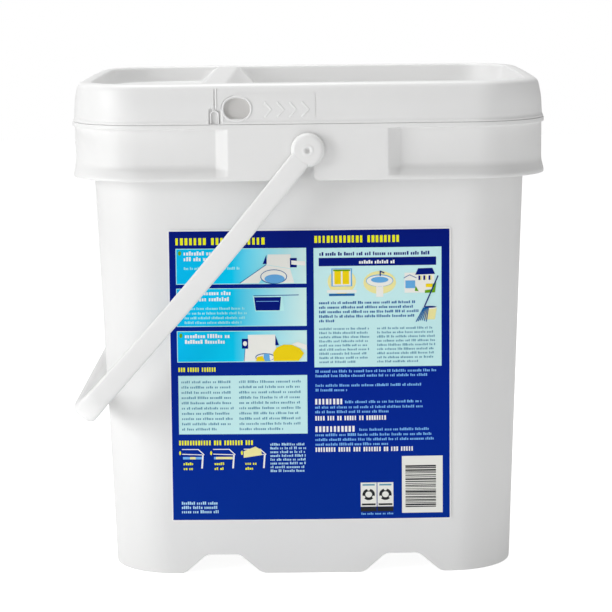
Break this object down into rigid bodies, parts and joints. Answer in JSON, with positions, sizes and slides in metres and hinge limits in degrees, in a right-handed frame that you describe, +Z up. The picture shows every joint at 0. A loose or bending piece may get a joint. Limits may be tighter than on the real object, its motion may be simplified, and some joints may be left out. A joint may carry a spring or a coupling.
{
  "type": "laundry powder pail",
  "caption": "Rectangular lidded plastic pail of laundry powder with tear-band lid, skirted rim, swinging bail handle and printed wall labels.",
  "frame": {"origin": "centre of the pail's base, on the surface it stands on", "axes": "+Z up, -Y out of the wide face seen in the picture, +X to that face's right"},
  "size_m": [0.3526, 0.2998, 0.37],
  "materials": {
    "white_plastic": "satin moulded plastic",
    "label_film": "printed film"
  },
  "bodies": {
    "pail_body": {"pail": "white_plastic", "lid": "white_plastic", "back_label": "label_film", "front_label": "label_film"},
    "handle_body": {"handle": "white_plastic"}
  },
  "joints": [
    {"name": "handle_swing", "type": "hinge", "parent": "pail_body", "child": "handle_body", "pos_m": [0, 0, 0.322], "axis": [0, 1, 0], "range_deg": [0, 278.3]}
  ]
}
